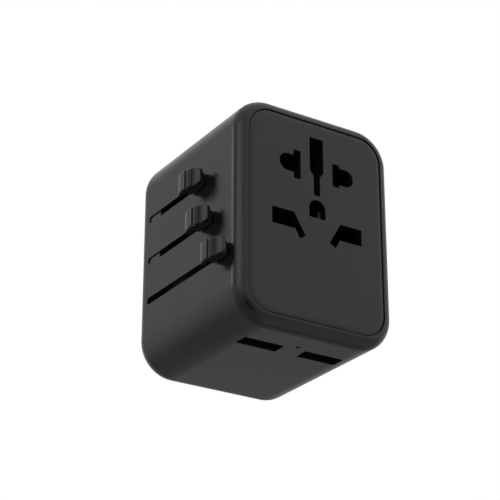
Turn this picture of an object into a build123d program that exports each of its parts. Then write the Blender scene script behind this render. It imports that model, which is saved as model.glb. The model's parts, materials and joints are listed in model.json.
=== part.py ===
from build123d import *
import math
import os

# Universal travel adapter.
# Frame: X to the right, Y into the wall, Z up. Origin at the centre of the flat underside.
# The socket face looks along -Y, the plug face along +Y, the three sliders are on the -X side.

# ---- case ----
BODY_W = 49.6
BODY_H = 65.5
BODY_D = 53.9
BODY_CORNER_R = 10.2
FRONT_EDGE_R = 3.7
REAR_EDGE_R = 4.7
WALL = 2.2
RIM_INSET = 3.2
RIM_EDGE_R = 0.12
LEDGE_W = 1.3
LEDGE_T = 1.2

# ---- clearances ----
SEAM_GAP = 0.12
PANEL_GAP = 0.2
MOVING_GAP = 0.3
RUNNING_FIT = 0.06
POCKET_FIT = 0.15

# ---- cutting ----
OVERCUT = 1.0
SAME_PLANE = 0.001

# ---- socket face ----
PANEL_T = 2.6
PANEL_EDGE_R = 4.0
PANEL_EDGE_RUN = 1.6
BLADE_Z = 48.0
US_BLADE_X = 6.35
US_SLOT_W = 2.3
NEUTRAL_SLOT_H = 8.6
HOT_SLOT_H = 6.9
EURO_HOLE_R = 2.55
EURO_PITCH = 19.0
EARTH_SLOT_W = 4.5
EARTH_SLOT_TOP = 57.6
EARTH_SLOT_SHOULDER = 47.5
EARTH_NECK_W = 2.1
EARTH_NECK_TOP = 46.0
EARTH_NECK_BOTTOM = 40.2
GROUND_HOLE_W = 5.3
GROUND_HOLE_BOTTOM = 33.55
GROUND_HOLE_TOP = 38.9
UK_SOCKET_X = 11.0
UK_SOCKET_Z = 31.2
UK_SOCKET_W = 7.0
UK_SOCKET_H = 4.8
AU_SOCKET_X = 6.63
AU_SOCKET_Z = 29.93
AU_SOCKET_LEN = 7.3
AU_SOCKET_W = 2.2
AU_TILT = 30.0

# ---- socket block and contacts ----
BLOCK_HALF_W = 16.3
BLOCK_BOTTOM = 24.6
BLOCK_TOP = 60.2
BLOCK_DEPTH = 16.1
CONTACT_T = 0.5
CONTACT_DEPTH = 11.0
LIVE_LEAF_X = 4.3
LIVE_WEB_X = 15.0
EARTH_CONTACT_DEPTH = 15.5
EARTH_LEAF_X = 2.45
CONTACT_GAP = 0.5
BAR_X = 12.4
BAR_T = 0.8
BAR_BOTTOM = 52.4
BAR_TOP = 58.4
BAR_LENGTH = 24.0

# ---- side slots ----
SLOT_W = 2.0
US_SLOT_Z = 45.5
EU_SLOT_Z = 32.75
UK_SLOT_Z = 20.5
SLOT_FRONT_GAP = 0.9
SLOT_REAR_INSET = 6.1
FILLER_LEN = 5.95
FILLER_RECESS = 0.35
RAIL_T = 1.4
RAIL_MARGIN = 4.4
RAIL_SLOT_W = 2.8
RAIL_SLOT_EXTRA = 1.0

# ---- knobs, measured from the socket face to the knob's middle ----
US_KNOB_FROM_FRONT = 19.5
EU_KNOB_FROM_FRONT = 15.5
UK_KNOB_FROM_FRONT = 7.5
KNOB_L = 8.7
KNOB_H = 6.2
KNOB_FRONT_H = 5.0
KNOB_FRONT_R = 1.3
KNOB_REAR_RISE = 4.5
KNOB_MID_RISE = 4.9
KNOB_FRONT_RISE = 2.9
KNOB_EDGE_R = 0.35
KNOB_PLATE_T = 1.5
KNOB_FOOT_L = 6.4
KNOB_FOOT_H = 3.8
KNOB_FOOT_REAR_INSET = 0.5
KNOB_GROOVE_W = 0.9
KNOB_GROOVE_D = 0.4
KNOB_GROOVE_PITCH = 2.5
STEM_L = 4.0
STEM_T = 1.5
STEM_SEAT = 1.2

# ---- carriers ----
CARRIER_START = 0.5
US_BAR_T = 6.5
US_BAR_START = 4.3
EU_BAR_T = 5.5
EU_BAR_START = 3.8
UK_BAR_T = 4.8
US_CARRIER_BELOW = 4.3
US_CARRIER_ABOVE = 4.4
US_BRIDGE_RISE = 2.1
US_BRIDGE_H = 4.2
US_CARRIER_HALF_W = 10.9
EARTH_PASSAGE = 2.35
EU_CARRIER_BELOW = 4.4
EU_CARRIER_ABOVE = 3.3
EU_CARRIER_END = 13.6
UK_CARRIER_BELOW = 3.2
UK_CARRIER_ABOVE = 4.4
UK_RISER_X = 17.0
UK_RISER_W = 3.5
CARRIER_GAP = 0.5
EAR_T = 3.5
EAR_MARGIN = 1.0
STOP_GAP = 1.3

# ---- guide rods ----
ROD_R = 1.1
ROD_X_FROM_WALL = 3.6
ROD_Z_OFFSET = 2.4
ROD_SEAT = 0.8

# ---- folding flat blades ----
BLADE_H = 6.35
BLADE_T = 1.5
BLADE_REACH = 17.0
TURRET_R = 3.4
TURRET_BACK = 1.2
BLADE_SEAT = 4.0
TWIST = 30.0
BLADE_TIP_CHAMFER = 0.5

# ---- round pins ----
EU_PIN_R = 2.0
EU_SLEEVE_R = 1.9
EU_SLEEVE_WALL = 0.5
EU_SLEEVE_LEN = 10.0
EU_PIN_REACH = 19.0
EU_PIN_SEAT = 3.5
EU_PIN_TIP_R = 1.2

# ---- rectangular pins ----
UK_PIN_X = 11.1
UK_PIN_W = 6.3
UK_PIN_H = 4.0
UK_PIN_REACH = 17.7
UK_EARTH_RISE = 22.2
UK_EARTH_W = 4.0
UK_EARTH_H = 8.0
UK_EARTH_REACH = 22.7
UK_PIN_SEAT = 3.0
UK_TIP_CHAMFER = 0.7

# ---- rear cover ----
COVER_T = 2.6
PIN_CLEAR = 0.4
SCREW_BOSS_R = 3.1
SCREW_BOSS_LEN = 13.0
SCREW_INSET = 6.7
SCREW_HEAD_R = 2.0
SCREW_HEAD_T = 1.2
SCREW_R = 1.1
SCREW_LEN = 10.0
SCREW_RECESS = 0.35
DRIVE_R = 1.0
DRIVE_DEPTH = 0.6
DRIVE_ARMS = (30, 90, 150)

# ---- usb supply ----
USB_X = 9.5
USB_FROM_FRONT = 13.6
USB_OPEN_W = 12.3
USB_OPEN_H = 4.7
USB_OPEN_R = 0.3
USB_SHELL_W = 13.0
USB_SHELL_H = 5.3
USB_SHELL_T = 0.3
USB_SHELL_LIFT = 0.6
USB_TONGUE_W = 11.1
USB_TONGUE_T = 1.8
USB_TONGUE_LEN = 8.4
USB_TONGUE_SHIFT = 1.0
USB_BASE_T = 1.4
BOARD_T = 1.2
BOARD_FRONT_GAP = 4.5
BOARD_REAR_GAP = 4.2
BOARD_SIDE_GAP = 0.4
BOARD_RIB_T = 1.4
BOARD_RIB_W = 0.9
BOARD_RIB_LEN = 38.0
LED_FROM_FRONT = 10.0
LED_R = 0.45
LED_FLANGE_R = 1.1
LED_RECESS = 1.2
TRANSFORMER_W = 14.0
TRANSFORMER_L = 13.0
TRANSFORMER_H = 11.0
TRANSFORMER_WINDOW = 3.0
CAP_R = 3.4
CAP_H = 11.5
OUT_CAP_R = 2.6
OUT_CAP_H = 9.5
CHIP_W = 6.0
CHIP_L = 5.0
CHIP_T = 1.5
CHIP_FROM_REAR = 9.5
CAP_FROM_MIDDLE = 13.5
CAP_FROM_FRONT = 29.0
CAP_EDGE_R = 0.5
COIL_OVERHANG = 0.8
COIL_CORNER_R = 1.0
TRANSFORMER_GAP = 2.0
BLOCK_CORNER_R = 2.0

# ---- fuse ----
FUSE_R = 2.5
FUSE_GRIP_GAP = 0.03
FUSE_LEN = 20.0
FUSE_CLIP_T = 0.5
FUSE_CLIP_W = 3.4
FUSE_Z = 57.4
FUSE_FROM_BLOCK = 12.0

Y_FRONT = -BODY_D / 2
Y_REAR = BODY_D / 2
Y_PANEL_BACK = Y_FRONT + PANEL_T
Y_BLOCK_REAR = Y_PANEL_BACK + BLOCK_DEPTH
Y_COVER_IN = Y_REAR - COVER_T
Y_SLOT_END = Y_REAR - SLOT_REAR_INSET
X_WALL_OUT = -BODY_W / 2
X_WALL_IN = X_WALL_OUT + WALL
X_EAR = X_WALL_IN + RAIL_T + MOVING_GAP
X_ROD = X_WALL_IN + ROD_X_FROM_WALL
Y_UK_BAR = Y_BLOCK_REAR + CARRIER_START
Y_US_BAR = Y_BLOCK_REAR + US_BAR_START
Y_EU_BAR = Y_BLOCK_REAR + EU_BAR_START
UK_EARTH_PIN_Z = UK_SLOT_Z + UK_EARTH_RISE
EU_TRAVEL = Y_COVER_IN - STOP_GAP - (Y_EU_BAR + EU_BAR_T)
UK_TRAVEL = Y_COVER_IN - STOP_GAP - (Y_UK_BAR + UK_BAR_T)
Y_US_KNOB = Y_FRONT + US_KNOB_FROM_FRONT
Y_EU_KNOB = Y_FRONT + EU_KNOB_FROM_FRONT
Y_UK_KNOB = Y_FRONT + UK_KNOB_FROM_FRONT
UK_ARM_BOTTOM = EU_SLOT_Z + EU_CARRIER_ABOVE + CARRIER_GAP
UK_ARM_TOP = US_SLOT_Z - US_CARRIER_BELOW - CARRIER_GAP
US_TRAVEL = Y_SLOT_END - FILLER_LEN - MOVING_GAP - (Y_US_KNOB + STEM_L / 2)
Y_USB = Y_FRONT + USB_FROM_FRONT
Z_BOARD = UK_SLOT_Z - UK_CARRIER_BELOW - CARRIER_GAP - BOARD_T
BOARD_HALF_W = -X_WALL_IN - RAIL_T - BOARD_SIDE_GAP


def block(x0, x1, y0, y1, z0, z1):
    return Pos((x0 + x1) / 2, (y0 + y1) / 2, (z0 + z1) / 2) * Box(x1 - x0, y1 - y0, z1 - z0)


def y_prism(outline, y0, y1):
    """Outline drawn in X and Z, swept from y0 to y1."""
    plane = Plane(origin=(0, y1, 0), x_dir=(1, 0, 0), z_dir=(0, -1, 0))
    return extrude(plane * outline, y1 - y0)


def x_prism(outline, x0, x1):
    """Outline drawn in Y and Z, swept from x0 to x1."""
    plane = Plane(origin=(x0, 0, 0), x_dir=(0, 1, 0), z_dir=(1, 0, 0))
    return extrude(plane * outline, x1 - x0)


def z_prism(outline, z0, z1):
    """Outline drawn in X and Y, swept from z0 to z1."""
    return extrude(Plane.XY.offset(z0) * outline, z1 - z0)


def y_rod(x, z, radius, y0, y1):
    return y_prism(Pos(x, z) * Circle(radius), y0, y1)


def rounded_section(inset):
    """The case's outline as seen from the socket side, pulled in by inset."""
    outline = RectangleRounded(BODY_W - 2 * inset, BODY_H - 2 * inset, BODY_CORNER_R - inset)
    return Pos(0, BODY_H / 2) * outline


def edges_at_y(shape, y):
    level = [e for e in shape.edges() if abs(e.bounding_box().size.Y) < SAME_PLANE]
    return [e for e in level if abs(e.center().Y - y) < SAME_PLANE]


def screw_centres():
    for sx in (-1, 1):
        for z in (SCREW_INSET, BODY_H - SCREW_INSET):
            yield sx * (BODY_W / 2 - SCREW_INSET), z


def slider_rows():
    """Each slider's slot height, knob position and whether the slot's end is filled."""
    yield US_SLOT_Z, Y_US_KNOB, True
    yield EU_SLOT_Z, Y_EU_KNOB, True
    yield UK_SLOT_Z, Y_UK_KNOB, False


def rod_centres():
    yield X_ROD, US_SLOT_Z - ROD_Z_OFFSET
    yield X_ROD, EU_SLOT_Z - ROD_Z_OFFSET
    yield X_ROD, UK_SLOT_Z + ROD_Z_OFFSET


def side_slot(z, y0, y1, width, x0, x1):
    length = y1 - y0
    return x_prism(Pos((y0 + y1) / 2, z) * SlotOverall(length, width), x0, x1)


def usb_outline(width, height, radius):
    return RectangleRounded(width, height, radius)


def rim_drop(edge_r):
    """How far the rim's inner edge lies behind the end face of the rounded case."""
    return edge_r - math.sqrt(edge_r**2 - (edge_r - RIM_INSET) ** 2)


def case_sleeve():
    body = y_prism(rounded_section(0), Y_FRONT, Y_REAR)
    body = fillet(edges_at_y(body, Y_FRONT), FRONT_EDGE_R)
    body = fillet(edges_at_y(body, Y_REAR), REAR_EDGE_R)
    body -= y_prism(rounded_section(WALL), Y_PANEL_BACK + LEDGE_T, Y_COVER_IN)
    body -= y_prism(rounded_section(RIM_INSET), Y_FRONT, Y_PANEL_BACK)
    body -= y_prism(rounded_section(RIM_INSET), Y_COVER_IN, Y_REAR)
    body -= y_prism(rounded_section(RIM_INSET + LEDGE_W), Y_PANEL_BACK, Y_COVER_IN)
    shell_space = y_prism(rounded_section(WALL / 2), Y_FRONT, Y_REAR)
    for x, z in screw_centres():
        body += y_rod(x, z, SCREW_BOSS_R, Y_COVER_IN - SCREW_BOSS_LEN, Y_COVER_IN) & shell_space
        body -= y_rod(x, z, SCREW_R, Y_COVER_IN - SCREW_LEN, Y_COVER_IN)
    rib_x = BOARD_HALF_W - BOARD_RIB_W
    for x0, x1 in ((X_WALL_IN - WALL / 2, -rib_x), (rib_x, -X_WALL_IN + WALL / 2)):
        body += block(x0, x1, -BOARD_RIB_LEN / 2, BOARD_RIB_LEN / 2, Z_BOARD - BOARD_RIB_T, Z_BOARD)
    for z, y_knob, _ in slider_rows():
        y0 = y_knob - STEM_L / 2 - SLOT_FRONT_GAP
        body -= side_slot(z, y0, Y_SLOT_END, SLOT_W, X_WALL_OUT - OVERCUT, X_WALL_IN + LEDGE_W)
    for sx in (-1, 1):
        mouth = Pos(sx * USB_X, Y_USB) * usb_outline(USB_OPEN_W, USB_OPEN_H, USB_OPEN_R)
        body -= z_prism(mouth, -OVERCUT, WALL)
    body -= z_prism(Pos(0, Y_FRONT + LED_FROM_FRONT) * Circle(LED_R + SEAM_GAP), -OVERCUT, WALL)
    rims = edges_at_y(body, Y_FRONT + rim_drop(FRONT_EDGE_R))
    rims += edges_at_y(body, Y_REAR - rim_drop(REAR_EDGE_R))
    return chamfer(rims, RIM_EDGE_R)


def earth_outline(grow):
    top = EARTH_SLOT_TOP + grow
    half = EARTH_SLOT_W / 2 + grow
    neck = EARTH_NECK_W / 2 + grow
    points = [
        (-half, top),
        (half, top),
        (half, EARTH_SLOT_SHOULDER),
        (neck, EARTH_NECK_TOP),
        (neck, EARTH_NECK_BOTTOM - grow),
        (-neck, EARTH_NECK_BOTTOM - grow),
        (-neck, EARTH_NECK_TOP),
        (-half, EARTH_SLOT_SHOULDER),
    ]
    return make_face(Polyline(*points, close=True))


def ground_outline(grow):
    half = GROUND_HOLE_W / 2 + grow
    round_z = GROUND_HOLE_TOP - GROUND_HOLE_W / 2
    low = GROUND_HOLE_BOTTOM - grow
    shape = Pos(0, round_z) * Circle(half)
    return shape + Pos(0, (round_z + low) / 2) * Rectangle(2 * half, round_z - low)


def pole_outline(side, grow):
    """Upper opening of one pole: a flat blade slot joined to a round pin hole."""
    slot_h = NEUTRAL_SLOT_H if side < 0 else HOT_SLOT_H
    shape = Pos(side * US_BLADE_X, BLADE_Z) * Rectangle(US_SLOT_W + 2 * grow, slot_h + 2 * grow)
    shape += Pos(side * EURO_PITCH / 2, BLADE_Z) * Circle(EURO_HOLE_R + grow)
    x_link = side * (US_BLADE_X + EURO_PITCH / 2) / 2
    link_w = EURO_PITCH / 2 - US_BLADE_X
    shape += Pos(x_link, BLADE_Z) * Rectangle(link_w, 2 * EURO_HOLE_R + 2 * grow)
    return shape


def lower_pole_outline(side, grow):
    """Lower opening of one pole: a rectangular pin hole joined to a slanted blade slot."""
    shape = Pos(side * UK_SOCKET_X, UK_SOCKET_Z) * Rectangle(UK_SOCKET_W + 2 * grow, UK_SOCKET_H + 2 * grow)
    blade = Rectangle(AU_SOCKET_W + 2 * grow, AU_SOCKET_LEN + 2 * grow)
    shape += Pos(side * AU_SOCKET_X, AU_SOCKET_Z) * Rot(0, 0, -side * AU_TILT) * blade
    return shape


def socket_openings(grow):
    yield earth_outline(grow)
    yield ground_outline(grow)
    for side in (-1, 1):
        yield pole_outline(side, grow)
        yield lower_pole_outline(side, grow)


def end_plate(y_face, y_back):
    """Plate in a case opening; its outer face rolls off gently before it meets the seam."""
    inset = RIM_INSET + PANEL_GAP
    spill = PANEL_EDGE_R - PANEL_EDGE_RUN
    deep = y_face + math.copysign(2 * PANEL_EDGE_R, y_back - y_face)
    dome = y_prism(rounded_section(inset - spill), min(y_face, deep), max(y_face, deep))
    dome = fillet(edges_at_y(dome, y_face), PANEL_EDGE_R)
    return dome & y_prism(rounded_section(inset), min(y_face, y_back), max(y_face, y_back))


def socket_panel():
    panel = end_plate(Y_FRONT, Y_PANEL_BACK)
    for outline in socket_openings(0):
        panel -= y_prism(outline, Y_FRONT - OVERCUT, Y_PANEL_BACK + OVERCUT)
    for x, z in rod_centres():
        panel -= y_rod(x, z, ROD_R, Y_PANEL_BACK - ROD_SEAT, Y_PANEL_BACK)
    return panel


def frame_outline(x0, x1, z0, z1, wall):
    """A closed strip loop between two rectangles, drawn in X and Z."""
    outer = Pos((x0 + x1) / 2, (z0 + z1) / 2) * Rectangle(x1 - x0, z1 - z0)
    inner = Pos((x0 + x1) / 2, (z0 + z1) / 2) * Rectangle(x1 - x0 - 2 * wall, z1 - z0 - 2 * wall)
    return outer - inner


def pole_contact_outline(side, wall, grow):
    """Brass loop round the upper openings, a web, and a loop round the lower opening."""
    x_in = LIVE_LEAF_X - grow
    x_out = LIVE_WEB_X + wall + grow
    half = NEUTRAL_SLOT_H / 2 + CONTACT_GAP + wall
    upper = (min(side * x_in, side * x_out), max(side * x_in, side * x_out))
    strip = wall + 2 * grow
    shape = frame_outline(*upper, BLADE_Z - half - grow, BLADE_Z + half + grow, strip)
    z_web = UK_SOCKET_Z + UK_SOCKET_H / 2 + CONTACT_GAP
    x_lower = UK_SOCKET_X - UK_SOCKET_W / 2
    z_low = UK_SOCKET_Z - UK_SOCKET_H / 2 - CONTACT_GAP - wall
    x_mid = (LIVE_WEB_X + wall / 2) * side
    z_mid = (z_low + BLADE_Z - half) / 2
    web_h = BLADE_Z - half - z_low + 2 * grow
    shape += Pos(x_mid, z_mid) * Rectangle(strip, web_h)
    leaf_w = LIVE_WEB_X + wall - x_lower + 2 * grow
    x_leaf = side * (x_lower + LIVE_WEB_X + wall) / 2
    shape += Pos(x_leaf, z_web + wall / 2) * Rectangle(leaf_w, strip)
    leaf_short = leaf_w - AU_SOCKET_W
    x_short = side * (x_lower + AU_SOCKET_W + LIVE_WEB_X + wall) / 2
    shape += Pos(x_short, z_low + wall / 2) * Rectangle(leaf_short, strip)
    return shape


def earth_contact_outline(wall, grow):
    strip = wall + 2 * grow
    z_low = GROUND_HOLE_BOTTOM
    z_top = EARTH_SLOT_TOP + CONTACT_GAP
    shape = Pos(0, z_top + wall / 2) * Rectangle(2 * (EARTH_LEAF_X + wall) + 2 * grow, strip)
    for side in (-1, 1):
        x = side * (EARTH_LEAF_X + wall / 2)
        shape += Pos(x, (z_low + z_top) / 2) * Rectangle(strip, z_top - z_low + 2 * grow)
    return shape


def socket_block():
    mid_z = (BLOCK_BOTTOM + BLOCK_TOP) / 2
    outline = Pos(0, mid_z) * RectangleRounded(2 * BLOCK_HALF_W, BLOCK_TOP - BLOCK_BOTTOM, BLOCK_CORNER_R)
    body = y_prism(outline, Y_PANEL_BACK, Y_BLOCK_REAR)
    for opening in socket_openings(POCKET_FIT):
        body -= y_prism(opening, Y_PANEL_BACK - OVERCUT, Y_BLOCK_REAR + OVERCUT)
    y_floor = Y_BLOCK_REAR - CONTACT_DEPTH
    for side in (-1, 1):
        pocket = pole_contact_outline(side, CONTACT_T, POCKET_FIT)
        body -= y_prism(pocket, y_floor, Y_BLOCK_REAR)
    y_earth = Y_BLOCK_REAR - EARTH_CONTACT_DEPTH
    body -= y_prism(earth_contact_outline(CONTACT_T, POCKET_FIT), y_earth, Y_BLOCK_REAR)
    return body


def pole_contact(side):
    outline = pole_contact_outline(side, CONTACT_T, 0)
    return y_prism(outline, Y_BLOCK_REAR - CONTACT_DEPTH, Y_BLOCK_REAR)


def earth_contact():
    return y_prism(earth_contact_outline(CONTACT_T, 0), Y_BLOCK_REAR - EARTH_CONTACT_DEPTH, Y_BLOCK_REAR)


def bus_bar(side):
    """Flat brass bar from the back of a pole's contact along the inside of the case."""
    x0 = side * BAR_X - BAR_T / 2
    return block(x0, x0 + BAR_T, Y_BLOCK_REAR, Y_BLOCK_REAR + BAR_LENGTH, BAR_BOTTOM, BAR_TOP)


def slot_rail():
    """Strip behind the slotted wall; its tabs close the rear ends of the upper two slots."""
    z0 = UK_SLOT_Z - RAIL_MARGIN
    z1 = US_SLOT_Z + RAIL_MARGIN
    rail = block(X_WALL_IN, X_WALL_IN + RAIL_T, Y_PANEL_BACK + LEDGE_T, Y_COVER_IN, z0, z1)
    for z, y_knob, filled in slider_rows():
        y0 = y_knob - STEM_L / 2 - SLOT_FRONT_GAP
        y1 = Y_SLOT_END - FILLER_LEN if filled else Y_SLOT_END
        x_in = X_WALL_IN + RAIL_T + OVERCUT
        rail -= side_slot(z, y0, y1 + RAIL_SLOT_EXTRA, RAIL_SLOT_W, X_WALL_IN - OVERCUT, x_in)
        if filled:
            width = SLOT_W - 2 * SEAM_GAP
            tab = side_slot(z, y1 - width, Y_SLOT_END - SEAM_GAP, width, X_WALL_OUT + FILLER_RECESS, X_WALL_IN)
            rail += tab - block(X_WALL_OUT - OVERCUT, X_WALL_IN, y1 - 2 * width, y1, z - SLOT_W, z + SLOT_W)
    return rail


def guide_rods():
    rods = [y_rod(x, z, ROD_R, Y_PANEL_BACK - ROD_SEAT, Y_COVER_IN + ROD_SEAT) for x, z in rod_centres()]
    return Compound(children=rods)


def blade_window(x, grow):
    """Bow-tie opening that lets a flat blade turn by the twist angle each way."""
    half_t = BLADE_T / 2 + grow
    reach = math.hypot(BLADE_H / 2 + grow, half_t)
    far = 2 * reach
    spread = far * math.tan(math.radians(TWIST))
    shape = make_face(Polyline((0, 0), (spread, far), (-spread, far), close=True))
    shape += make_face(Polyline((0, 0), (-spread, -far), (spread, -far), close=True))
    for angle in (-TWIST, TWIST):
        shape += Rot(0, 0, angle) * Rectangle(2 * half_t, 2 * far)
    return Pos(x, US_SLOT_Z) * (shape & Circle(reach))


def rear_cover():
    cover = end_plate(Y_REAR, Y_COVER_IN)
    y0 = Y_COVER_IN - OVERCUT
    y1 = Y_REAR + OVERCUT
    for side in (-1, 1):
        cover -= y_prism(blade_window(side * US_BLADE_X, PIN_CLEAR), y0, y1)
        cover -= y_rod(side * EURO_PITCH / 2, EU_SLOT_Z, EU_PIN_R + PIN_CLEAR, y0, y1)
        pin = Rectangle(UK_PIN_W + 2 * PIN_CLEAR, UK_PIN_H + 2 * PIN_CLEAR)
        cover -= y_prism(Pos(side * UK_PIN_X, UK_SLOT_Z) * pin, y0, y1)
    earth = Rectangle(UK_EARTH_W + 2 * PIN_CLEAR, UK_EARTH_H + 2 * PIN_CLEAR)
    cover -= y_prism(Pos(0, UK_EARTH_PIN_Z) * earth, y0, y1)
    for x, z in screw_centres():
        cover -= y_rod(x, z, SCREW_R + POCKET_FIT, y0, y1)
        y_seat = Y_REAR - SCREW_RECESS - SCREW_HEAD_T
        cover -= y_rod(x, z, SCREW_HEAD_R + POCKET_FIT, y_seat, y1)
    for x, z in rod_centres():
        cover -= y_rod(x, z, ROD_R, Y_COVER_IN, Y_COVER_IN + ROD_SEAT)
    return cover


def case_screws():
    screws = []
    y_top = Y_REAR - SCREW_RECESS
    for x, z in screw_centres():
        screw = y_rod(x, z, SCREW_HEAD_R, y_top - SCREW_HEAD_T, y_top)
        screw = fillet(edges_at_y(screw, y_top), SCREW_RECESS)
        screw += y_rod(x, z, SCREW_R, Y_COVER_IN - SCREW_LEN, y_top - SCREW_HEAD_T)
        arm = Rectangle(2 * DRIVE_R, DRIVE_R / 2)
        star = sum((Pos(x, z) * Rot(0, 0, a) * arm for a in DRIVE_ARMS), Sketch())
        screw -= y_prism(star, y_top - DRIVE_DEPTH, y_top)
        screws.append(screw)
    return Compound(children=screws)


def knob(z, y):
    """Thumb knob: curved plate, lower and narrower to the front, on a shorter foot, with cross grooves."""
    half = KNOB_L / 2
    base = X_WALL_OUT - MOVING_GAP
    p_rear = (X_WALL_OUT - KNOB_REAR_RISE, y + half)
    p_mid = (X_WALL_OUT - KNOB_MID_RISE, y)
    p_front = (X_WALL_OUT - KNOB_FRONT_RISE, y - half)
    sides = Polyline(p_front, (base, y - half), (base, y + half), p_rear)
    side_view = make_face(ThreePointArc(p_rear, p_mid, p_front) + sides)
    rear_z = KNOB_H / 2
    front_z = KNOB_FRONT_H / 2
    front = [(y - half, z - front_z), (y - half, z + front_z)]
    rear = [(y + half, z + rear_z), (y + half, z - rear_z)]
    plan = make_face(Polyline(*front, *rear, close=True))
    plan = fillet([v for v in plan.vertices() if v.X < y], KNOB_FRONT_R)
    plate_view = side_view - Pos(KNOB_PLATE_T, 0) * side_view
    cap = z_prism(plate_view, z - KNOB_H, z + KNOB_H) & x_prism(plan, base - 2 * KNOB_MID_RISE, base)
    x_crown = X_WALL_OUT - KNOB_FRONT_RISE + KNOB_EDGE_R
    cap = fillet([e for e in cap.edges() if e.center().X < x_crown], KNOB_EDGE_R)
    skin = z_prism(side_view - Pos(KNOB_GROOVE_D, 0) * side_view, z - KNOB_H, z + KNOB_H)
    for step in (-1, 0):
        y0 = y + step * KNOB_GROOVE_PITCH - KNOB_GROOVE_W / 2
        cap -= skin & block(base - KNOB_H, base, y0, y0 + KNOB_GROOVE_W, z - KNOB_H, z + KNOB_H)
    y_foot = y + half - KNOB_FOOT_REAR_INSET
    foot_z = KNOB_FOOT_H / 2
    foot = z_prism(Pos(KNOB_PLATE_T / 2, 0) * side_view, z - foot_z, z + foot_z)
    foot &= block(base - KNOB_MID_RISE, base, y_foot - KNOB_FOOT_L, y_foot, z - foot_z, z + foot_z)
    stem = block(base, X_EAR + STEM_SEAT, y - STEM_L / 2, y + STEM_L / 2, z - STEM_T / 2, z + STEM_T / 2)
    return cap + foot + stem


def carrier_ear(z0, z1, y_knob, y_end):
    """Side plate of a carrier that runs along the rail and reaches the knob's stem."""
    y0 = y_knob - STEM_L / 2 - EAR_MARGIN
    return block(X_EAR, X_EAR + EAR_T, y0, y_end, z0, z1)


def stem_seat(y_knob, z_slot):
    half_l = STEM_L / 2
    half_t = STEM_T / 2
    return block(X_EAR, X_EAR + STEM_SEAT, y_knob - half_l, y_knob + half_l, z_slot - half_t, z_slot + half_t)


def rod_bore(x, z):
    return y_rod(x, z, ROD_R + RUNNING_FIT, Y_FRONT, Y_REAR)


def us_carrier():
    z0 = US_SLOT_Z - US_CARRIER_BELOW
    z1 = US_SLOT_Z + US_CARRIER_ABOVE
    z_bridge = US_SLOT_Z + US_BRIDGE_RISE
    y1 = Y_US_BAR + US_BAR_T
    body = carrier_ear(z0, z1, Y_US_KNOB, y1)
    body += block(X_EAR, -EARTH_PASSAGE, Y_US_BAR, y1, z0, z1)
    body += block(EARTH_PASSAGE, US_CARRIER_HALF_W, Y_US_BAR, y1, z0, z1)
    body += block(-US_CARRIER_HALF_W, US_CARRIER_HALF_W, Y_US_BAR, y1, z_bridge, z_bridge + US_BRIDGE_H)
    for side in (-1, 1):
        body -= y_rod(side * US_BLADE_X, US_SLOT_Z, TURRET_R + RUNNING_FIT, Y_US_BAR + TURRET_BACK, y1)
    body -= stem_seat(Y_US_KNOB, US_SLOT_Z)
    return body - rod_bore(X_ROD, US_SLOT_Z - ROD_Z_OFFSET)


def blade_turret(side):
    x = side * US_BLADE_X
    y0 = Y_US_BAR + TURRET_BACK + SEAM_GAP
    y1 = Y_US_BAR + US_BAR_T
    body = y_rod(x, US_SLOT_Z, TURRET_R, y0, y1)
    seat = Pos(x, US_SLOT_Z) * Rectangle(BLADE_T, BLADE_H)
    return body - y_prism(seat, y1 - BLADE_SEAT, y1)


def flat_blade(side):
    x = side * US_BLADE_X
    y0 = Y_US_BAR + US_BAR_T - BLADE_SEAT
    y1 = Y_REAR + BLADE_REACH - US_TRAVEL
    blade = y_prism(Pos(x, US_SLOT_Z) * Rectangle(BLADE_T, BLADE_H), y0, y1)
    return chamfer(edges_at_y(blade, y1), BLADE_TIP_CHAMFER)


def eu_carrier():
    z0 = EU_SLOT_Z - EU_CARRIER_BELOW
    z1 = EU_SLOT_Z + EU_CARRIER_ABOVE
    y1 = Y_EU_BAR + EU_BAR_T
    body = carrier_ear(z0, z1, Y_EU_KNOB, y1)
    body += block(X_EAR, EU_CARRIER_END, Y_EU_BAR, y1, z0, z1)
    for side in (-1, 1):
        body -= y_rod(side * EURO_PITCH / 2, EU_SLOT_Z, EU_PIN_R, y1 - EU_PIN_SEAT, y1)
    body -= stem_seat(Y_EU_KNOB, EU_SLOT_Z)
    return body - rod_bore(X_ROD, EU_SLOT_Z - ROD_Z_OFFSET)


def round_pin_tip_y():
    return Y_REAR + EU_PIN_REACH - EU_TRAVEL


def round_pin(side):
    """Nickel pin, narrowed near its root for the insulating sleeve."""
    x = side * EURO_PITCH / 2
    y0 = Y_EU_BAR + EU_BAR_T - EU_PIN_SEAT
    y_tip = round_pin_tip_y()
    y_sleeve = y_tip - EU_PIN_REACH
    pin = y_rod(x, EU_SLOT_Z, EU_PIN_R, y0, y_tip)
    pin = fillet(edges_at_y(pin, y_tip), EU_PIN_TIP_R)
    ring = Circle(EU_PIN_R + OVERCUT) - Circle(EU_SLEEVE_R - EU_SLEEVE_WALL)
    return pin - y_prism(Pos(x, EU_SLOT_Z) * ring, y_sleeve, y_sleeve + EU_SLEEVE_LEN)


def pin_sleeve(side):
    x = side * EURO_PITCH / 2
    y0 = round_pin_tip_y() - EU_PIN_REACH
    ring = Circle(EU_SLEEVE_R) - Circle(EU_SLEEVE_R - EU_SLEEVE_WALL)
    return y_prism(Pos(x, EU_SLOT_Z) * ring, y0, y0 + EU_SLEEVE_LEN)


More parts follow.
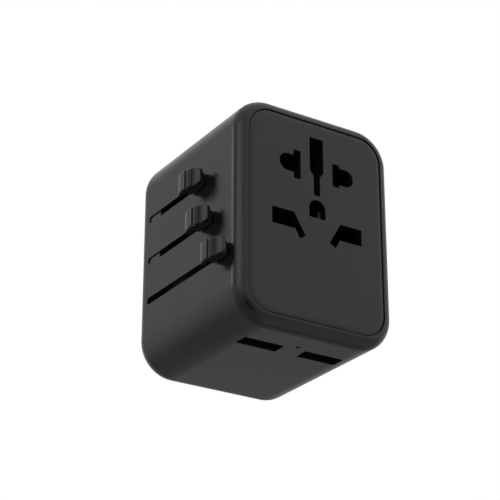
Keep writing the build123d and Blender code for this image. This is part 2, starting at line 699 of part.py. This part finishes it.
def uk_carrier():
    z0 = UK_SLOT_Z - UK_CARRIER_BELOW
    z1 = UK_SLOT_Z + UK_CARRIER_ABOVE
    y0 = Y_UK_BAR
    y1 = Y_UK_BAR + UK_BAR_T
    x_out = UK_RISER_X + UK_RISER_W
    body = carrier_ear(z0, z1, Y_UK_KNOB, y1)
    body += block(X_EAR, x_out, y0, y1, z0, z1)
    body += block(UK_RISER_X, x_out, y0, y1, z0, UK_ARM_TOP)
    body += block(-UK_EARTH_W / 2, x_out, y0, y1, UK_ARM_BOTTOM, UK_ARM_TOP)
    for side in (-1, 1):
        seat = Pos(side * UK_PIN_X, UK_SLOT_Z) * Rectangle(UK_PIN_W, UK_PIN_H)
        body -= y_prism(seat, y1 - UK_PIN_SEAT, y1)
    seat = Pos(0, UK_EARTH_PIN_Z) * Rectangle(UK_EARTH_W, UK_EARTH_H)
    body -= y_prism(seat, y1 - UK_PIN_SEAT, y1)
    body -= stem_seat(Y_UK_KNOB, UK_SLOT_Z)
    return body - rod_bore(X_ROD, UK_SLOT_Z + ROD_Z_OFFSET)


def rectangular_pin(x, z, width, height, reach):
    y0 = Y_UK_BAR + UK_BAR_T - UK_PIN_SEAT
    y1 = Y_REAR + reach - UK_TRAVEL
    pin = y_prism(Pos(x, z) * Rectangle(width, height), y0, y1)
    return chamfer(edges_at_y(pin, y1), UK_TIP_CHAMFER)


def usb_board():
    y0 = Y_FRONT + BOARD_FRONT_GAP
    y1 = Y_REAR - BOARD_REAR_GAP
    return block(-BOARD_HALF_W, BOARD_HALF_W, y0, y1, Z_BOARD, Z_BOARD + BOARD_T)


def usb_shell(side):
    outer = usb_outline(USB_SHELL_W, USB_SHELL_H, USB_OPEN_R + USB_SHELL_T)
    inner = usb_outline(USB_SHELL_W - 2 * USB_SHELL_T, USB_SHELL_H - 2 * USB_SHELL_T, USB_OPEN_R)
    return z_prism(Pos(side * USB_X, Y_USB) * (outer - inner), WALL + USB_SHELL_LIFT, Z_BOARD)


def usb_tongue(side):
    inner_w = USB_SHELL_W - 2 * USB_SHELL_T
    inner_h = USB_SHELL_H - 2 * USB_SHELL_T
    outline = Pos(side * USB_X, Y_USB) * usb_outline(inner_w, inner_h, USB_OPEN_R)
    base = z_prism(outline, Z_BOARD - USB_BASE_T, Z_BOARD)
    z0 = Z_BOARD - USB_BASE_T - USB_TONGUE_LEN
    blade = Pos(side * USB_X, Y_USB - USB_TONGUE_SHIFT) * Rectangle(USB_TONGUE_W, USB_TONGUE_T)
    tongue = z_prism(blade, z0, Z_BOARD)
    return base + tongue


def light_pipe():
    y = Y_FRONT + LED_FROM_FRONT
    stem = z_prism(Pos(0, y) * Circle(LED_R), LED_RECESS, WALL)
    return stem + z_prism(Pos(0, y) * Circle(LED_FLANGE_R), WALL, Z_BOARD)


def transformer_core():
    """Two-legged ferrite frame hanging under the board."""
    y0 = Y_USB + USB_SHELL_H / 2 + TRANSFORMER_GAP
    x = TRANSFORMER_W / 2
    z0 = Z_BOARD - TRANSFORMER_H
    core = block(-x, x, y0, y0 + TRANSFORMER_L, z0, Z_BOARD)
    window = block(-x + TRANSFORMER_WINDOW, x - TRANSFORMER_WINDOW, y0 - OVERCUT, y0 + TRANSFORMER_L + OVERCUT,
                   z0 + TRANSFORMER_WINDOW, Z_BOARD - TRANSFORMER_WINDOW)
    return core - window


def transformer_coil():
    y0 = Y_USB + USB_SHELL_H / 2 + TRANSFORMER_GAP
    x = TRANSFORMER_W / 2 - TRANSFORMER_WINDOW
    z0 = Z_BOARD - TRANSFORMER_H + TRANSFORMER_WINDOW
    coil_l = TRANSFORMER_L + 2 * COIL_OVERHANG
    outline = Pos(0, y0 + TRANSFORMER_L / 2) * RectangleRounded(2 * x, coil_l, COIL_CORNER_R)
    return z_prism(outline, z0, Z_BOARD - TRANSFORMER_WINDOW)


def capacitor(x, radius, height):
    y = Y_FRONT + CAP_FROM_FRONT
    body = z_prism(Pos(x, y) * Circle(radius), Z_BOARD - height, Z_BOARD)
    low = [e for e in body.edges() if abs(e.center().Z - (Z_BOARD - height)) < SAME_PLANE]
    return fillet(low, CAP_EDGE_R)


def controller_chip():
    y1 = Y_REAR - CHIP_FROM_REAR
    return block(-CHIP_W / 2, CHIP_W / 2, y1 - CHIP_L, y1, Z_BOARD - CHIP_T, Z_BOARD)


def fuse_tube():
    y = Y_BLOCK_REAR + FUSE_FROM_BLOCK
    plane = Plane(origin=(-FUSE_LEN / 2, y, FUSE_Z), x_dir=(0, 1, 0), z_dir=(1, 0, 0))
    return extrude(plane * Circle(FUSE_R), FUSE_LEN)


def fuse_clips():
    """Two spring clips, one on each bus bar, holding the fuse between them."""
    y = Y_BLOCK_REAR + FUSE_FROM_BLOCK
    clips = []
    for side in (-1, 1):
        x1 = side * (BAR_X - BAR_T / 2)
        x0 = side * (FUSE_LEN / 2 - FUSE_CLIP_W)
        plane = Plane(origin=(min(x0, x1), y, FUSE_Z), x_dir=(0, 1, 0), z_dir=(1, 0, 0))
        ring = Circle(FUSE_R + FUSE_CLIP_T) - Circle(FUSE_R + FUSE_GRIP_GAP)
        clips.append(extrude(plane * ring, abs(x1 - x0)))
    return Compound(children=clips)


def build_parts():
    parts = {
        "case_sleeve": case_sleeve(),
        "socket_panel": socket_panel(),
        "rear_cover": rear_cover(),
        "case_screws": case_screws(),
        "socket_block": socket_block(),
        "neutral_contact": pole_contact(-1),
        "live_contact": pole_contact(1),
        "earth_contact": earth_contact(),
        "neutral_bus_bar": bus_bar(-1),
        "live_bus_bar": bus_bar(1),
        "fuse_tube": fuse_tube(),
        "fuse_clips": fuse_clips(),
        "slot_rail": slot_rail(),
        "guide_rods": guide_rods(),
        "us_au_knob": knob(US_SLOT_Z, Y_US_KNOB),
        "us_au_carrier": us_carrier(),
        "blade_turret_left": blade_turret(-1),
        "blade_turret_right": blade_turret(1),
        "flat_blade_left": flat_blade(-1),
        "flat_blade_right": flat_blade(1),
        "eu_knob": knob(EU_SLOT_Z, Y_EU_KNOB),
        "eu_carrier": eu_carrier(),
        "round_pin_left": round_pin(-1),
        "round_pin_right": round_pin(1),
        "pin_sleeve_left": pin_sleeve(-1),
        "pin_sleeve_right": pin_sleeve(1),
        "uk_knob": knob(UK_SLOT_Z, Y_UK_KNOB),
        "uk_carrier": uk_carrier(),
        "uk_pin_left": rectangular_pin(-UK_PIN_X, UK_SLOT_Z, UK_PIN_W, UK_PIN_H, UK_PIN_REACH),
        "uk_pin_right": rectangular_pin(UK_PIN_X, UK_SLOT_Z, UK_PIN_W, UK_PIN_H, UK_PIN_REACH),
        "uk_earth_pin": rectangular_pin(0, UK_EARTH_PIN_Z, UK_EARTH_W, UK_EARTH_H, UK_EARTH_REACH),
        "usb_board": usb_board(),
        "usb_shell_left": usb_shell(-1),
        "usb_shell_right": usb_shell(1),
        "usb_tongue_left": usb_tongue(-1),
        "usb_tongue_right": usb_tongue(1),
        "light_pipe": light_pipe(),
        "transformer_core": transformer_core(),
        "transformer_coil": transformer_coil(),
        "input_capacitor": capacitor(-CAP_FROM_MIDDLE, CAP_R, CAP_H),
        "output_capacitor": capacitor(CAP_FROM_MIDDLE, OUT_CAP_R, OUT_CAP_H),
        "controller_chip": controller_chip(),
    }
    return parts


os.makedirs("parts", exist_ok=True)
for name, shape in build_parts().items():
    export_step(shape, f"parts/{name}.step")
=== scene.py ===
import json
import math

import bmesh
import bpy
from mathutils import Matrix, Vector

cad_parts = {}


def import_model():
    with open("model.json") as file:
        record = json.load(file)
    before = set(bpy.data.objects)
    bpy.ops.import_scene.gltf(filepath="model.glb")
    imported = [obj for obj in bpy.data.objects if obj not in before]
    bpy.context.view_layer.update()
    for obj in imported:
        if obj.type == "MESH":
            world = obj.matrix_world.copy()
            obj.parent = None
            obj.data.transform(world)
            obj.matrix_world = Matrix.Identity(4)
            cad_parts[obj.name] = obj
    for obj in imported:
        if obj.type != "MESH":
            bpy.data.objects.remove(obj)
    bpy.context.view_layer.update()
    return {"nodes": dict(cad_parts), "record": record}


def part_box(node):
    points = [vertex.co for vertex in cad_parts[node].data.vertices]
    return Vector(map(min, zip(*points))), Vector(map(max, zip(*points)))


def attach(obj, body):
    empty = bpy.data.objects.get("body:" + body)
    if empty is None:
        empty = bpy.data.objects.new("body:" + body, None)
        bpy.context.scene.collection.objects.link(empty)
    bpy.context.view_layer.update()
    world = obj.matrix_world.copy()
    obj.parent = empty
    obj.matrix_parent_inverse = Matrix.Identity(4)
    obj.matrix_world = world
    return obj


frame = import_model()
record = frame["record"]
nodes = frame["nodes"]
scene = bpy.context.scene
MM = 0.001


# ---------------------------------------------------------------- materials
def new_material(name):
    mat = bpy.data.materials.new(name)
    mat.use_nodes = True
    tree = mat.node_tree
    tree.nodes.clear()
    out = tree.nodes.new("ShaderNodeOutputMaterial")
    bsdf = tree.nodes.new("ShaderNodeBsdfPrincipled")
    tree.links.new(bsdf.outputs["BSDF"], out.inputs["Surface"])
    coords = tree.nodes.new("ShaderNodeTexCoord")
    return mat, tree, bsdf, coords.outputs["Object"]


def noise(tree, vector, scale, detail=2.0, rough=0.5):
    n = tree.nodes.new("ShaderNodeTexNoise")
    n.inputs["Scale"].default_value = scale
    n.inputs["Detail"].default_value = detail
    n.inputs["Roughness"].default_value = rough
    tree.links.new(vector, n.inputs["Vector"])
    return n.outputs["Fac"]


def span(tree, value, low, high, from_low=0.3, from_high=0.7):
    m = tree.nodes.new("ShaderNodeMapRange")
    m.inputs["From Min"].default_value = from_low
    m.inputs["From Max"].default_value = from_high
    m.inputs["To Min"].default_value = low
    m.inputs["To Max"].default_value = high
    tree.links.new(value, m.inputs["Value"])
    return m.outputs["Result"]


def ramp(tree, value, stops):
    r = tree.nodes.new("ShaderNodeValToRGB")
    elements = r.color_ramp.elements
    while len(elements) < len(stops):
        elements.new(0.5)
    for element, (pos, colour) in zip(elements, stops):
        element.position = pos
        element.color = (*colour, 1)
    tree.links.new(value, r.inputs["Fac"])
    return r.outputs["Color"]


def mix_colour(tree, factor, a, b):
    m = tree.nodes.new("ShaderNodeMix")
    m.data_type = "RGBA"
    for socket, source in ((m.inputs["Factor"], factor), (m.inputs["A"], a), (m.inputs["B"], b)):
        if isinstance(source, (int, float)):
            socket.default_value = source
        elif isinstance(source, tuple):
            socket.default_value = (*source, 1)
        else:
            tree.links.new(source, socket)
    return m.outputs["Result"]


def maths(tree, kind, a, b=0.5):
    m = tree.nodes.new("ShaderNodeMath")
    m.operation = kind
    for socket, source in ((m.inputs[0], a), (m.inputs[1], b)):
        if isinstance(source, (int, float)):
            socket.default_value = source
        else:
            tree.links.new(source, socket)
    return m.outputs[0]


def bump(tree, height, depth, soften=0.0):
    """Bump of that depth in metres, over an edge softened by a bevel of that radius."""
    b = tree.nodes.new("ShaderNodeBump")
    b.inputs["Strength"].default_value = 1.0
    b.inputs["Distance"].default_value = depth
    tree.links.new(height, b.inputs["Height"])
    if soften:
        bevel = tree.nodes.new("ShaderNodeBevel")
        bevel.samples = 4
        bevel.inputs["Radius"].default_value = soften
        tree.links.new(bevel.outputs["Normal"], b.inputs["Normal"])
    return b.outputs["Normal"]


def edge_mask(tree, radius):
    """1 along edges, 0 on flats: how far a rounded-off normal turns from the face's own."""
    g = tree.nodes.new("ShaderNodeNewGeometry")
    bevel = tree.nodes.new("ShaderNodeBevel")
    bevel.samples = 6
    bevel.inputs["Radius"].default_value = radius
    dot = tree.nodes.new("ShaderNodeVectorMath")
    dot.operation = "DOT_PRODUCT"
    tree.links.new(bevel.outputs["Normal"], dot.inputs[0])
    tree.links.new(g.outputs["Normal"], dot.inputs[1])
    return span(tree, dot.outputs["Value"], 1, 0, 0.8, 0.985)


def moulded_plastic(name, colour, roughness, grain=0.00022, depth=0.000006, soften=0.0002):
    """Spark-eroded black moulding: fine grain, faint flow mottling, slightly polished (less rough)
    edges and a painted highlight that pales the colour along every edge.
    """
    mat, tree, bsdf, vector = new_material(name)
    fine = noise(tree, vector, 1 / grain, 3.0, 0.6)
    broad = noise(tree, vector, 70.0, 3.0, 0.55)
    dark = tuple(c * 0.86 for c in colour)
    light = tuple(min(1, c * 1.14) for c in colour)
    base = ramp(tree, broad, [(0.3, dark), (0.7, light)])
    speck = span(tree, fine, 0.0, 0.35)
    base = mix_colour(tree, speck, base, tuple(min(1, c * 1.5) for c in colour))
    edges = edge_mask(tree, soften * 1.2)
    # Painted highlight: the base colour is paled along every edge, standing in for light caught by the
    # rounded edges.
    edge_highlight_colour = tuple(min(1, c * 2.2) for c in colour)
    colour_with_edge_highlight = mix_colour(tree, maths(tree, "MULTIPLY", edges, 0.5), base, edge_highlight_colour)
    tree.links.new(colour_with_edge_highlight, bsdf.inputs["Base Color"])
    patches = span(tree, broad, roughness - 0.03, roughness + 0.03)
    rough = maths(tree, "ADD", patches, span(tree, fine, -0.03, 0.03))
    rough = maths(tree, "SUBTRACT", rough, maths(tree, "MULTIPLY", edges, 0.1))
    tree.links.new(rough, bsdf.inputs["Roughness"])
    bsdf.inputs["IOR"].default_value = 1.5
    bsdf.inputs["Specular IOR Level"].default_value = 0.5
    tree.links.new(bump(tree, fine, depth, soften), bsdf.inputs["Normal"])
    return mat


def plated_metal(name, colour, roughness, stretch=(1, 1, 1), depth=0.000003):
    """Plated or rolled metal with fine drawing marks along one direction and small smudges."""
    mat, tree, bsdf, vector = new_material(name)
    mapping = tree.nodes.new("ShaderNodeMapping")
    mapping.inputs["Scale"].default_value = stretch
    tree.links.new(vector, mapping.inputs["Vector"])
    marks = noise(tree, mapping.outputs["Vector"], 2600.0, 3.0, 0.6)
    smudge = noise(tree, vector, 160.0, 3.0, 0.6)
    dark = tuple(c * 0.85 for c in colour)
    light = tuple(min(1, c * 1.05) for c in colour)
    base = ramp(tree, smudge, [(0.3, dark), (0.7, light)])
    tree.links.new(base, bsdf.inputs["Base Color"])
    bsdf.inputs["Metallic"].default_value = 1.0
    patches = span(tree, smudge, roughness - 0.05, roughness + 0.08)
    rough = maths(tree, "ADD", patches, span(tree, marks, -0.05, 0.05))
    tree.links.new(rough, bsdf.inputs["Roughness"])
    tree.links.new(bump(tree, marks, depth, 0.0001), bsdf.inputs["Normal"])
    return mat


def solder_mask(name):
    mat, tree, bsdf, vector = new_material(name)
    weave = noise(tree, vector, 1500.0, 2.0)
    broad = noise(tree, vector, 90.0, 3.0)
    base = ramp(tree, broad, [(0.35, (0.008, 0.07, 0.028)), (0.65, (0.014, 0.105, 0.042))])
    tree.links.new(base, bsdf.inputs["Base Color"])
    tree.links.new(span(tree, weave, 0.25, 0.4), bsdf.inputs["Roughness"])
    tree.links.new(bump(tree, weave, 0.000005, 0.0001), bsdf.inputs["Normal"])
    return mat


def clear_plastic(name, colour, roughness, transmission):
    mat, tree, bsdf, vector = new_material(name)
    haze = noise(tree, vector, 500.0, 2.0)
    base = ramp(tree, haze, [(0.3, tuple(c * 0.92 for c in colour)), (0.7, colour)])
    tree.links.new(base, bsdf.inputs["Base Color"])
    tree.links.new(span(tree, haze, roughness * 0.8, roughness * 1.3), bsdf.inputs["Roughness"])
    bsdf.inputs["Transmission Weight"].default_value = transmission
    bsdf.inputs["IOR"].default_value = 1.49
    tree.links.new(bump(tree, haze, 0.000004), bsdf.inputs["Normal"])
    return mat


def film(name, colour, roughness=0.3):
    mat, tree, bsdf, vector = new_material(name)
    wrap = noise(tree, vector, 420.0, 3.0)
    base = ramp(tree, wrap, [(0.3, tuple(c * 0.8 for c in colour)), (0.7, colour)])
    tree.links.new(base, bsdf.inputs["Base Color"])
    tree.links.new(span(tree, wrap, roughness - 0.06, roughness + 0.1), bsdf.inputs["Roughness"])
    tree.links.new(bump(tree, wrap, 0.00002, 0.0001), bsdf.inputs["Normal"])
    return mat


materials = {
    "case": moulded_plastic("case_black", (0.0075, 0.0075, 0.0078), 0.22),
    "panel": moulded_plastic(
        "panel_black", (0.0068, 0.0068, 0.0071), 0.24, grain=0.00018, depth=0.000004, soften=0.00025
    ),
    "knob": moulded_plastic("knob_black", (0.0075, 0.0075, 0.0078), 0.18, depth=0.000003),
    "inner_plastic": moulded_plastic("inner_black", (0.006, 0.006, 0.0063), 0.45),
    "tongue": moulded_plastic("tongue_black", (0.012, 0.012, 0.013), 0.45),
    "chip": moulded_plastic("chip_epoxy", (0.02, 0.02, 0.02), 0.55),
    "ferrite": moulded_plastic("ferrite", (0.04, 0.04, 0.043), 0.6, grain=0.0003, depth=0.00001),
    "contact_brass": plated_metal("contact_brass", (0.78, 0.58, 0.28), 0.3, (1, 0.1, 1)),
    "pin_nickel": plated_metal("pin_nickel", (0.66, 0.64, 0.6), 0.22, (1, 0.08, 1)),
    "screw_steel": plated_metal("screw_steel", (0.52, 0.52, 0.53), 0.3),
    "shell_steel": plated_metal("shell_steel", (0.56, 0.56, 0.57), 0.26, (1, 1, 0.1)),
    "board_green": solder_mask("solder_mask"),
    "light_pipe": clear_plastic("light_pipe", (0.25, 0.27, 0.3), 0.25, 0.5),
    "fuse_glass": clear_plastic("fuse_glass", (0.95, 0.97, 0.98), 0.05, 0.9),
    "coil_tape": film("coil_tape", (0.62, 0.42, 0.05)),
    "can": film("can_sleeve", (0.03, 0.035, 0.05), 0.25),
}

for row in record["subparts"]:
    obj = nodes[row["node"]]
    obj.data.materials.clear()
    obj.data.materials.append(materials[row["material_slot"]])


# ---------------------------------------------------------------- small pieces in the USB ports
BAR_CUTS = 11
SHARP_ANGLE = 1.0


def rounded_bar(name, low, high, radius, slot, bow=0.0):
    """Upright bar between two corners with rounded edges, its middle bowed along Y by bow."""
    mesh = bpy.data.meshes.new(name)
    bm = bmesh.new()
    cube = bmesh.ops.create_cube(bm, size=1.0)
    size = Vector(high) - Vector(low)
    centre = (Vector(high) + Vector(low)) / 2
    for v in cube["verts"]:
        v.co = Vector(a * b for a, b in zip(v.co, size))
    long_edges = [e for e in bm.edges if abs(e.verts[0].co.z - e.verts[1].co.z) > size.z / 2]
    bmesh.ops.subdivide_edges(bm, edges=long_edges, cuts=BAR_CUTS, use_grid_fill=True)
    for v in bm.verts:
        v.co.y += bow * math.cos(math.pi * v.co.z / size.z)
    sharp = [e for e in bm.edges if e.calc_face_angle(0) > SHARP_ANGLE]
    bmesh.ops.bevel(bm, geom=sharp, offset=radius, segments=2, affect="EDGES", profile=0.5)
    for v in bm.verts:
        v.co += centre
    bm.to_mesh(mesh)
    bm.free()
    mesh.shade_smooth()
    mesh.materials.append(materials[slot])
    obj = bpy.data.objects.new(name, mesh)
    scene.collection.objects.link(obj)
    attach(obj, "case")
    return obj


CONTACT_X = (-3.5, -1.0, 1.0, 3.5)
CONTACT_W = 1.0
CONTACT_T = 0.12
CONTACT_SINK = 0.02
CONTACT_FROM_TIP = 1.2
CONTACT_TO_TIP = 7.5
CONTACT_EDGE_R = 0.03
SPRING_X = (-2.8, 2.8)
SPRING_W = 1.6
SPRING_T = 0.15
SPRING_FROM_MOUTH = 1.0
SPRING_TO_MOUTH = 6.0
SPRING_BOW = -0.35
SPRING_EDGE_R = 0.04
SHELL_WALL_MIN = 0.1

for side in ("left", "right"):
    tongue_low, tongue_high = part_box("usb_tongue_" + side)
    shell_low, shell_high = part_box("usb_shell_" + side)
    middle = (tongue_low.x + tongue_high.x) / 2
    z0 = tongue_low.z + CONTACT_FROM_TIP * MM
    z1 = tongue_low.z + CONTACT_TO_TIP * MM
    y = max(v.co.y for v in nodes["usb_tongue_" + side].data.vertices if v.co.z < z0)
    for i, x in enumerate(CONTACT_X):
        a = Vector((middle + (x - CONTACT_W / 2) * MM, y - CONTACT_SINK * MM, z0))
        b = Vector((middle + (x + CONTACT_W / 2) * MM, y + CONTACT_T * MM, z1))
        rounded_bar(f"usb_contact_{side}_{i + 1}", a, b, CONTACT_EDGE_R * MM, "contact_brass")
    y_outside = shell_high.y - SHELL_WALL_MIN * MM
    inner = max(v.co.y for v in nodes["usb_shell_" + side].data.vertices if v.co.y < y_outside)
    z0 = shell_low.z + SPRING_FROM_MOUTH * MM
    z1 = shell_low.z + SPRING_TO_MOUTH * MM
    for i, x in enumerate(SPRING_X):
        a = Vector((middle + (x - SPRING_W / 2) * MM, inner - SPRING_T * MM, z0))
        b = Vector((middle + (x + SPRING_W / 2) * MM, inner, z1))
        name = f"usb_spring_{side}_{i + 1}"
        rounded_bar(name, a, b, SPRING_EDGE_R * MM, "shell_steel", SPRING_BOW * MM)


# ---------------------------------------------------------------- camera
PICTURE = 500
FOCAL = 1689.7
CENTRE_X, CENTRE_Y = 250.373, 249.223
AZ, EL, ROLL = math.radians(32.666), math.radians(-24.522), math.radians(0.036)
DIST = 469.756 * MM
TARGET = Vector((-4.0, 0, 33.864)) * MM
back = Vector((-math.sin(AZ) * math.cos(EL), -math.cos(AZ) * math.cos(EL), math.sin(EL)))
right = (-back).cross(Vector((0, 0, 1))).normalized()
up = right.cross(-back)
right, up = (
    math.cos(ROLL) * right + math.sin(ROLL) * up,
    -math.sin(ROLL) * right + math.cos(ROLL) * up,
)
data = bpy.data.cameras.new("camera")
camera = bpy.data.objects.new("camera", data)
scene.collection.objects.link(camera)
rotation = Matrix((right, up, back)).transposed().to_4x4()
camera.matrix_world = Matrix.Translation(TARGET + back * DIST) @ rotation
data.sensor_width = 36.0
data.lens = FOCAL * data.sensor_width / PICTURE
data.shift_x = (PICTURE / 2 - CENTRE_X) / PICTURE
data.shift_y = (CENTRE_Y - PICTURE / 2) / PICTURE
data.clip_start = 0.01
scene.camera = camera


# ---------------------------------------------------------------- studio
def towards(tree, direction, near, far):
    """1 where the tent is looked at within near degrees of a direction, falling to 0 at far degrees."""
    coords = tree.nodes.new("ShaderNodeTexCoord")
    dot = tree.nodes.new("ShaderNodeVectorMath")
    dot.operation = "DOT_PRODUCT"
    tree.links.new(coords.outputs["Generated"], dot.inputs[0])
    dot.inputs[1].default_value = Vector(direction).normalized()
    m = tree.nodes.new("ShaderNodeMapRange")
    m.interpolation_type = "SMOOTHSTEP"
    m.inputs["From Min"].default_value = math.cos(math.radians(far))
    m.inputs["From Max"].default_value = math.cos(math.radians(near))
    tree.links.new(dot.outputs["Value"], m.inputs["Value"])
    return m.outputs["Result"]


TENT = 0.65
TENT_PATCHES = [
    ((0, 0, -1), 58, 92, -0.35),
    ((-0.65, 0.60, 0.42), 4, 11, 1.3),
    ((-0.30, 0.85, 0.42), 8, 24, -0.12),
    ((-0.85, 0.30, 0.42), 6, 17, -0.2),
    ((-0.84, -0.36, 0.41), 8, 24, 0.7),
    ((0.49, -0.76, 0.42), 15, 42, 0.15),
    ((0.49, -0.42, -0.76), 12, 36, 0.22),
    ((0.49, 0.76, -0.42), 6, 26, -0.03),
    ((0.62, 0.77, 0.1), 8, 30, -0.25),
    ((-0.491, -0.766, -0.415), 8, 26, -0.3),
]


def world():
    """White tent: even walls, a dim floor side, bright strips on the left, dark behind the camera."""
    w = bpy.data.worlds.new("studio")
    scene.world = w
    w.use_nodes = True
    tree = w.node_tree
    tree.nodes.clear()
    out = tree.nodes.new("ShaderNodeOutputWorld")
    seen = tree.nodes.new("ShaderNodeBackground")
    seen.inputs["Color"].default_value = (1, 1, 1, 1)
    seen.inputs["Strength"].default_value = 1.0
    lit = tree.nodes.new("ShaderNodeBackground")
    lit.inputs["Color"].default_value = (1, 1, 1, 1)
    level = TENT
    for direction, near, far, gain in TENT_PATCHES:
        patch = maths(tree, "MULTIPLY", towards(tree, direction, near, far), gain)
        level = maths(tree, "ADD", level, patch)
    tree.links.new(level, lit.inputs["Strength"])
    path = tree.nodes.new("ShaderNodeLightPath")
    mix = tree.nodes.new("ShaderNodeMixShader")
    tree.links.new(path.outputs["Is Camera Ray"], mix.inputs["Fac"])
    tree.links.new(lit.outputs[0], mix.inputs[1])
    tree.links.new(seen.outputs[0], mix.inputs[2])
    tree.links.new(mix.outputs[0], out.inputs["Surface"])


def softbox(name, direction, distance, size, power, target=(0, 0, 0.033)):
    light = bpy.data.lights.new(name, "AREA")
    light.shape = "RECTANGLE"
    light.size, light.size_y = size
    light.energy = power
    obj = bpy.data.objects.new(name, light)
    scene.collection.objects.link(obj)
    d = Vector(direction).normalized()
    obj.location = Vector(target) + d * distance
    obj.rotation_euler = d.to_track_quat("Z", "Y").to_euler()
    obj.visible_camera = False


world()
softbox("top", (0.1, -0.2, 1.0), 1.0, (0.8, 0.8), 0.2)


def floor():
    mesh = bpy.data.meshes.new("studio_floor")
    bm = bmesh.new()
    bmesh.ops.create_grid(bm, x_segments=8, y_segments=8, size=3.0)
    bm.to_mesh(mesh)
    bm.free()
    obj = bpy.data.objects.new("studio_floor", mesh)
    scene.collection.objects.link(obj)
    obj.location.z = -0.00005
    mat, tree, bsdf, vector = new_material("pale_floor")
    grain = noise(tree, vector, 40.0, 3.0)
    base = ramp(tree, grain, [(0.3, (0.82, 0.82, 0.82)), (0.7, (0.84, 0.84, 0.84))])
    tree.links.new(base, bsdf.inputs["Base Color"])
    tree.links.new(span(tree, grain, 0.55, 0.65), bsdf.inputs["Roughness"])
    # Seen from above it is a floor; from underneath it is not there, so the underside stays in view.
    geo = tree.nodes.new("ShaderNodeNewGeometry")
    clear = tree.nodes.new("ShaderNodeBsdfTransparent")
    mix = tree.nodes.new("ShaderNodeMixShader")
    out = [n for n in tree.nodes if n.type == "OUTPUT_MATERIAL"][0]
    tree.links.new(geo.outputs["Backfacing"], mix.inputs["Fac"])
    tree.links.new(bsdf.outputs[0], mix.inputs[1])
    tree.links.new(clear.outputs[0], mix.inputs[2])
    tree.links.new(mix.outputs[0], out.inputs["Surface"])
    mesh.materials.append(mat)
    obj.visible_shadow = False
    obj.visible_diffuse = False
    obj.visible_glossy = False
    obj.visible_transmission = False


floor()
scene.view_settings.view_transform = "Standard"
